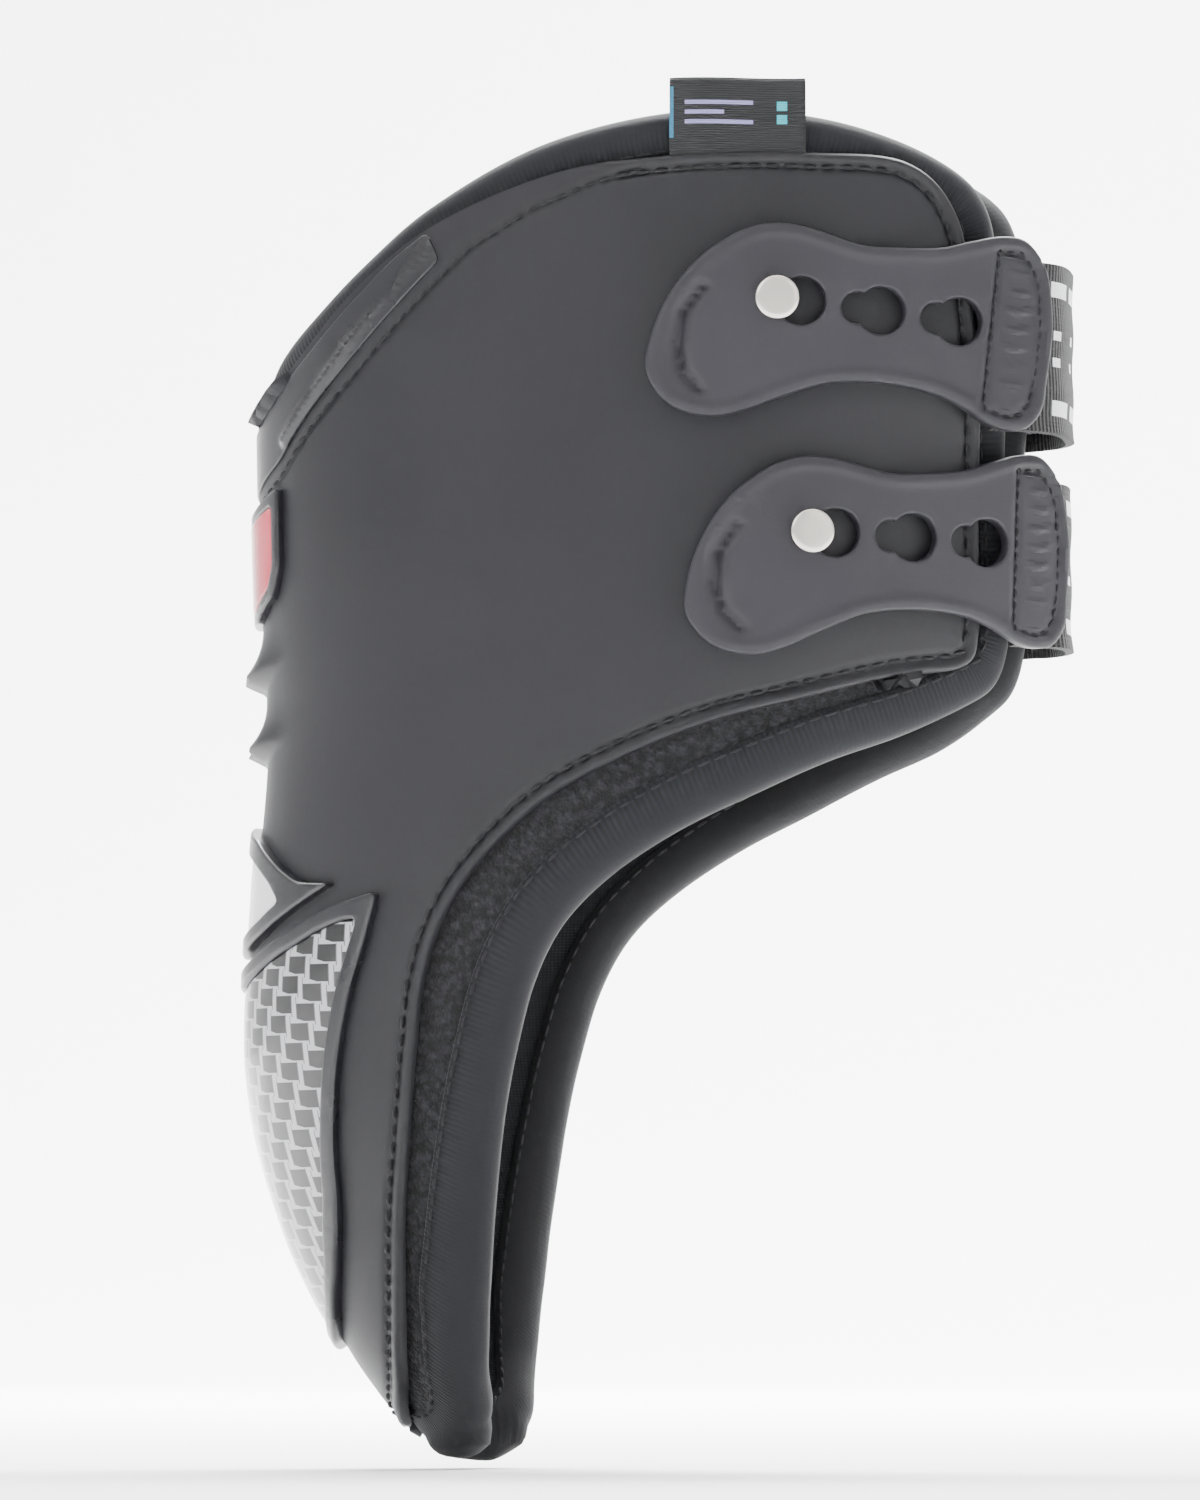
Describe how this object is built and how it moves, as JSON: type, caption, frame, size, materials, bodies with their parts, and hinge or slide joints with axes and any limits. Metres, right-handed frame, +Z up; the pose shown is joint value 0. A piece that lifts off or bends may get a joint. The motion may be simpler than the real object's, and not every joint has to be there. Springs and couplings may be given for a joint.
{
  "type": "open-front tendon boot",
  "caption": "Open-front horse tendon boot with a curved shell, padded liner, studs, keyhole tabs and elastic straps.",
  "frame": {"origin": "on the leg's axis inside the boot, about level with the boot's lowest edge", "axes": "+Z up the leg, +X forward to the open front, -Y the stud side; the X-Z plane is the plane of symmetry of the shell"},
  "size_m": [0.1661, 0.0916, 0.2661],
  "materials": {
    "shell_rubber": "satin",
    "gloss_trim": "semi gloss",
    "badge_red": "gloss",
    "silver_insert": "gloss",
    "strike_weave": "gloss",
    "pile_fabric": "matt",
    "neoprene_foam": "matt",
    "lining_fabric": "matt",
    "binding_webbing": "matt",
    "label_weave": "matt",
    "stud_nickel": "polished",
    "tab_rubber": "satin",
    "elastic_weave": "matt"
  },
  "bodies": {
    "boot": {"outer_shell": "shell_rubber", "back_collar": "gloss_trim", "badge_bezel": "gloss_trim", "spine_badge": "badge_red", "insert_frame": "gloss_trim", "spine_insert": "silver_insert", "strike_frame": "gloss_trim", "strike_pad": "strike_weave", "loop_pile_facing": "pile_fabric", "liner_foam": "neoprene_foam", "liner_lining": "lining_fabric", "binding_near": "binding_webbing", "binding_far": "binding_webbing", "woven_label": "label_weave", "upper_stud": "stud_nickel", "upper_stud_backplate": "stud_nickel", "upper_elastic_sewn_end": "elastic_weave", "lower_stud": "stud_nickel", "lower_stud_backplate": "stud_nickel", "lower_elastic_sewn_end": "elastic_weave"},
    "upper_strap": {"upper_elastic": "elastic_weave"},
    "upper_tab": {"upper_tab": "tab_rubber"},
    "lower_strap": {"lower_elastic": "elastic_weave"},
    "lower_tab": {"lower_tab": "tab_rubber"}
  },
  "joints": [
    {"name": "upper_strap_swing", "type": "hinge", "parent": "boot", "child": "upper_strap", "pos_m": [0.0727, 0.0272, 0.2125], "axis": [0, 0, 1], "range_deg": [0, 110]},
    {"name": "upper_tab_pull", "type": "hinge", "parent": "upper_strap", "child": "upper_tab", "pos_m": [0.008, 0.082, 0.2203], "axis": [-0.1132, 0, -0.9936], "range_deg": [0, 2.1], "stiffness_Nm_per_rad": 13, "springref_deg": -1.15},
    {"name": "lower_strap_swing", "type": "hinge", "parent": "boot", "child": "lower_strap", "pos_m": [0.0729, 0.0218, 0.1705], "axis": [0, 0, 1], "range_deg": [0, 110]},
    {"name": "lower_tab_pull", "type": "hinge", "parent": "lower_strap", "child": "lower_tab", "pos_m": [0.008, 0.056, 0.1752], "axis": [-0.0384, 0, -0.9993], "range_deg": [0, 2.6], "stiffness_Nm_per_rad": 8.5, "springref_deg": -1.15}
  ]
}
